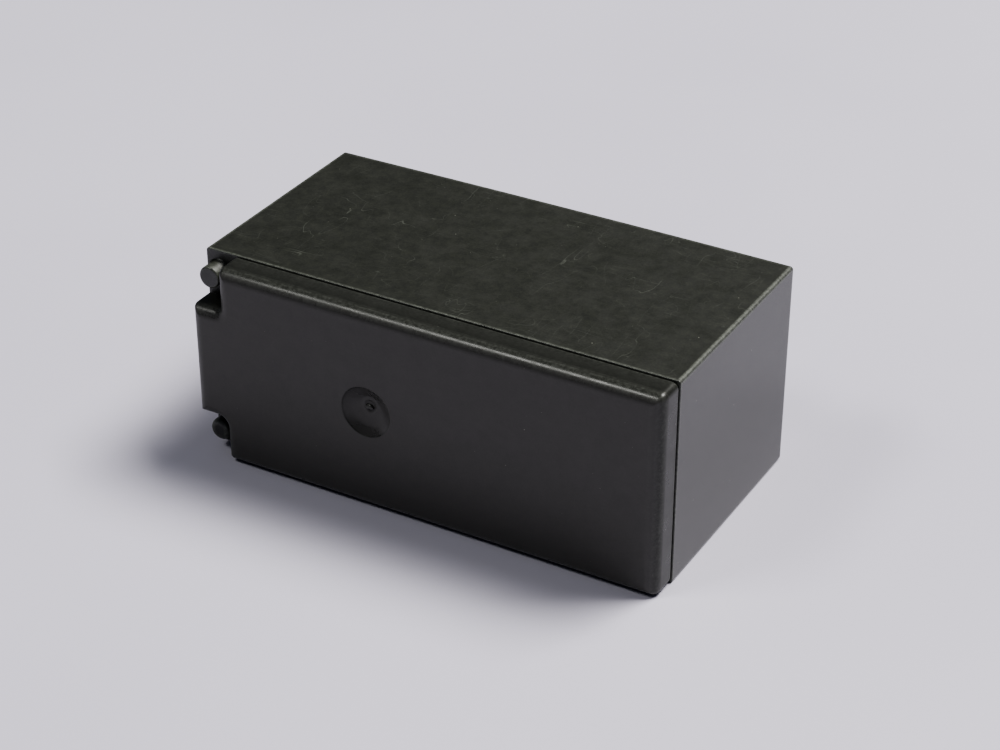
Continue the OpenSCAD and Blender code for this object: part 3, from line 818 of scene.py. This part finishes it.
def cover_plate():
    b = Build()
    outer = plate_body(b)
    lip = gate_dimple(b)
    front_face(b, outer, lip)
    gate_stub(b)
    plate_plug(b)
    b.object("cover_plate", "top_plate", PLATE, ["top_plate"], smooth=40)


# ---------------------------------------------------------------- base and resin at the board side

def terminal_base():
    b = Build()
    shape = outline(base_lo.x, base_hi.x, base_lo.z, base_hi.z, 0.15 * MM)
    front, back = base_lo.y, resin_lo.y - 0.01 * MM
    bevel = 0.12 * MM
    steps = 4
    sections = [(WALL, front, 0.0), (bevel + 0.1 * MM, front, 0.2)]
    sections += [(d, front + y, 0.7) for d, y in reversed(quarter(bevel, steps))]
    sections += [(0.0, back - 0.1 * MM, 0.0), (0.08 * MM, back, 0.4), (WALL, back, 0.0)]
    b.loft([ring(shape, inset, y, arc=5, edge=6) for inset, y, _ in sections],
           [wear for _, _, wear in sections])

    # Feet that stand on the board: a straight stem with a rounded end
    stem = base_hi.y - back
    sunk = 0.3 * MM
    profile = [(FOOT_R * 0.6, -sunk), (FOOT_R, -sunk), (FOOT_R, 0.3 * stem)]
    profile += [(FOOT_R - d, stem - y) for d, y in quarter(0.1 * MM, steps)]
    profile += [(0.3 * FOOT_R, stem), (0.1 * FOOT_R, stem - 0.02 * MM)]
    for foot in FEET:
        b.revolve(profile, Vector((foot.x, back, foot.z)), 32,
                  [0.0, 0.0, 0.1] + [0.9] * (steps + 1) + [0.3, 0.0])

    # Collars round the contact pins on the inner side
    collar_x, collar_y, collar_z = 0.55 * MM, 0.3 * MM, 0.8 * MM
    for name in CONTACT_PINS:
        lo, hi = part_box(name)
        x = pin_place(name)
        z = (lo.z + hi.z) / 2
        b.block(Vector((x - collar_x, front, z - collar_z)),
                Vector((x + collar_x, front + collar_y, z + collar_z)), 0.06 * MM, 0.2)
    b.object("base_moulding", "housing", BASE, ["terminal_base"], smooth=40)


def resin_skin(x0, x1, z0, z1):
    """Rows of points across the resin's skin, which climbs at the walls, the pins and the feet."""
    low, high = resin_lo.y, resin_hi.y
    reach = 0.22 * MM
    pins = []
    for name in COIL_PINS + CONTACT_PINS:
        lo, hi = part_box(name)
        half_x, half_z = CONTACT_PIN_HALF_X, CONTACT_PIN_HALF_Z
        if name in COIL_PINS:
            half_x = half_z = COIL_PIN_HALF
        pins.append((pin_place(name), (lo.z + hi.z) / 2, half_x, half_z))

    def skin(x, z):
        gap = min(x - x0, x1 - x, z - z0, z1 - z)
        for pin_x, pin_z, half_x, half_z in pins:
            dx = max(abs(x - pin_x) - half_x, 0.0)
            dz = max(abs(z - pin_z) - half_z, 0.0)
            gap = min(gap, math.hypot(dx, dz))
        for foot in FEET:
            gap = min(gap, max(0.0, math.hypot(x - foot.x, z - foot.z) - FOOT_R))
        climb = math.exp(-gap / reach)
        wave = noise.noise(Vector((x / MM * 0.35, z / MM * 0.35, 4.0)))
        return min(low + (high - low) * (0.5 + 0.35 * climb + 0.07 * wave), high)

    cols, rows = 150, 64
    grid = []
    for i in range(cols + 1):
        x = x0 + (x1 - x0) * i / cols
        column = []
        for j in range(rows + 1):
            z = z0 + (z1 - z0) * j / rows
            column.append(Vector((x, skin(x, z), z)))
        grid.append(column)
    return grid


def resin_pour():
    """Poured layer over the base: its skin, its sides and its flat underside."""
    b = Build()
    grid = resin_skin(resin_lo.x, resin_hi.x, resin_lo.z, resin_hi.z)
    top = [b.points(column) for column in grid]
    cols, rows = len(grid) - 1, len(grid[0]) - 1
    for i in range(cols):
        for j in range(rows):
            b.bm.faces.new((top[i][j], top[i][j + 1], top[i + 1][j + 1], top[i + 1][j]))
    rim = [top[i][0] for i in range(cols)] + [top[cols][j] for j in range(rows)]
    rim += [top[i][rows] for i in range(cols, 0, -1)] + [top[0][j] for j in range(rows, 0, -1)]
    under = b.points([Vector((v.co.x, resin_lo.y, v.co.z)) for v in rim])
    for k in range(len(rim)):
        n = (k + 1) % len(rim)
        b.bm.faces.new((rim[k], rim[n], under[n], under[k]))
    b.bm.faces.new(under)
    b.object("resin_pour", "housing", RESIN, ["sealing_resin"], smooth=50)


# ---------------------------------------------------------------- coil: turns of wire and their leads

def winding_turns():
    """Outer layer of turns, wound as a helix with slightly uneven tension."""
    b = Build()
    axis_y, axis_z = (coil_lo.y + coil_hi.y) / 2, (coil_lo.z + coil_hi.z) / 2
    outer = (coil_hi.z - coil_lo.z) / 2
    inner = outer - 1.3 * MM
    x0, x1 = coil_lo.x, coil_hi.x
    pitch = 0.2 * MM
    wires = (x1 - x0) / pitch
    count = int(wires * 6)
    segments = 72
    random.seed(3)
    tension = [random.uniform(-0.025, 0.0) * MM for _ in range(int(wires) + 4)]

    def surface(x, t):
        """Radius of the wound surface at a place along the coil and an angle."""
        place = (x - x0) / pitch - t / (2 * math.pi) + 1
        share = place - math.floor(place)
        round_wire = math.sqrt(max(0.0, 1 - (2 * share - 1) ** 2))
        end = min(1.0, min(x - x0, x1 - x) / (0.25 * MM))
        bulge = 0.05 * MM * math.sin(2.1 * t + 0.35 * x / MM)
        r = outer - WIRE_R * 0.8 * (1 - round_wire) + tension[int(place)] - 0.05 * MM
        return r + min(0.0, bulge) - 0.12 * MM * (1 - end)

    def spot(x, r, t):
        return Vector((x, axis_y + r * math.cos(t), axis_z + r * math.sin(t)))

    rings = []
    for k in range(count + 1):
        x = x0 + (x1 - x0) * k / count
        rings.append([spot(x, surface(x, t), t) for t in angles(segments)])
    for x in (x1, x0):
        rings.append([spot(x, inner, t) for t in angles(segments)])
    b.loft(rings, wrap=True)
    b.object("winding_turns", "housing", COPPER, ["coil_winding"], smooth=80)


def lead_wires():
    """The winding's ends: close turns round each coil pin, then a slack run to the winding."""
    b = Build()
    lead_lo, lead_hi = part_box("coil_leads")
    wrap_r = math.sqrt(2) * COIL_PIN_HALF + WIRE_R
    wrap_drop = 0.42 * MM
    turns, steps = 3, 20
    high_y = lead_hi.y - WIRE_R
    coil_mid_y = (coil_lo.y + coil_hi.y) / 2
    outer = (coil_hi.z - coil_lo.z) / 2
    for name, side in zip(COIL_PINS, (-1, 1)):
        lo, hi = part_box(name)
        pin_x, pin_z = (lo.x + hi.x) / 2, (lo.z + hi.z) / 2
        edge_z = lead_lo.z + WIRE_R if side < 0 else lead_hi.z - WIRE_R
        wrap = []
        for k in range(turns * steps + 1):
            t = 2 * math.pi * k / steps
            y = high_y - k / (turns * steps) * wrap_drop
            wrap.append(Vector((pin_x + wrap_r * math.sin(t), y, pin_z + side * wrap_r * math.cos(t))))
        start = wrap[-1]
        run = [start, start + Vector((0.5 * MM, -0.1 * MM, side * 0.12 * MM)),
               Vector((start.x + 1.3 * MM, start.y - 0.35 * MM, edge_z)),
               Vector(((start.x + coil_lo.x) / 2 + 0.9 * MM, start.y - 1.1 * MM, edge_z)),
               Vector((coil_lo.x + 0.2 * MM, coil_mid_y + 2.6 * MM, edge_z - side * 0.05 * MM)),
               Vector((coil_lo.x + 0.42 * MM, coil_mid_y + 1.9 * MM, MID_Z + side * (outer * 0.9)))]
        b.tube(wrap[:-1] + smooth_path(run, 10), WIRE_R, 10)
    b.object("lead_wires", "housing", COPPER, ["coil_leads"], smooth=80)


# ---------------------------------------------------------------- carried-over CAD nodes

LOOKS = {
    "insulation_wall": (WALL_PLASTIC, 0.05), "coil_bobbin": (BOBBIN, 0.06), "card": (CARD, 0.06),
    "core": (IRON, 0.05), "yoke": (IRON, 0.06), "armature": (IRON, 0.05),
    "hinge_spring": (SPRING_STEEL, 0.02),
}
for n in (1, 2):
    LOOKS[f"moving_spring_{n}"] = (BRONZE, 0.02)
    LOOKS[f"moving_contact_{n}"] = (SILVER, 0.04)
    LOOKS[f"nc_contact_{n}"] = (SILVER, 0.05)
    LOOKS[f"no_contact_{n}"] = (SILVER, 0.05)
for name in COIL_PINS + CONTACT_PINS:
    LOOKS[name] = (TINNED, 0.04)


def dress(node, material, edge_mm):
    """Gives a CAD node its material and rounds its edges by edge_mm."""
    node.data.materials.clear()
    node.data.materials.append(material)
    weld = node.modifiers.new("weld", "WELD")
    weld.merge_threshold = 0.001 * MM
    edge = node.modifiers.new("edge", "BEVEL")
    edge.width = edge_mm * MM
    edge.segments = 2
    edge.limit_method = "ANGLE"
    edge.angle_limit = math.radians(35)


# ---------------------------------------------------------------- floor, lights, camera

def link(obj):
    bpy.context.scene.collection.objects.link(obj)
    return obj


def lay_floor():
    half = 3.0
    corners = [(-half, -half, 0), (half, -half, 0), (half, half, 0), (-half, half, 0)]
    mesh = bpy.data.meshes.new("floor")
    mesh.from_pydata(corners, [], [(0, 1, 2, 3)])
    g = Graph("floor_pale")
    tone = g.ramp(g.noise(0.02, 3), 0.3, 0.7)
    color = g.mix(tone, rgb(0.585, 0.565, 0.64), rgb(0.615, 0.595, 0.67))
    mesh.materials.append(g.finish(color, 0.55, g.bump(g.noise(2.5, 3), 0.006)))
    floor = link(bpy.data.objects.new("floor", mesh))


def area_light(name, place, size_x, size_y, power, color):
    """Rectangular light that looks at the middle of the floor."""
    lamp = bpy.data.lights.new(name, "AREA")
    lamp.shape = "RECTANGLE"
    lamp.size, lamp.size_y = size_x, size_y
    lamp.energy = power
    lamp.color = color
    obj = link(bpy.data.objects.new(name, lamp))
    obj.location = place
    obj.rotation_euler = (-Vector(place)).to_track_quat("-Z", "Y").to_euler()


def lights():
    area_light("key", (0.22, 0.24, 0.62), 0.30, 0.30, 5.9, (1.0, 0.985, 0.965))
    area_light("overhead", (-0.22, -0.25, 0.48), 0.18, 0.13, 0.72, (1.0, 1.0, 0.97))
    world = bpy.data.worlds.new("studio")
    world.use_nodes = True
    background = world.node_tree.nodes["Background"]
    background.inputs["Color"].default_value = (0.72, 0.78, 1.0, 1)
    background.inputs["Strength"].default_value = 0.095
    bpy.context.scene.world = world


def camera():
    """The photo's own view, from the fit to it."""
    azimuth = math.radians(29.71)
    elevation = math.radians(30.93)
    distance = 133.92 * MM
    centre = Vector([(lo + hi) / 2 for lo, hi in zip(*cad_bounds)])
    aim = centre + Vector((0.13, -0.83, -1.3)) * MM
    flat = math.cos(elevation)
    place = aim + distance * Vector((math.sin(azimuth) * flat, -math.cos(azimuth) * flat,
                                     math.sin(elevation)))
    data = bpy.data.cameras.new("camera")
    data.lens = 86.44
    data.sensor_width = 36.0
    data.clip_start = 0.01
    obj = link(bpy.data.objects.new("camera", data))
    obj.location = place
    obj.rotation_euler = (aim - place).to_track_quat("-Z", "Y").to_euler()
    bpy.context.scene.camera = obj


def colour_view():
    """A photographic contrast, so that black plastic looks black."""
    view = bpy.context.scene.view_settings
    view.view_transform = "AgX"
    view.look = "AgX - High Contrast"


camera()
colour_view()
lay_floor()
lights()
case_shell()
cover_plate()
terminal_base()
resin_pour()
winding_turns()
lead_wires()
for name, (material, edge_mm) in LOOKS.items():
    dress(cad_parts[name], material, edge_mm)
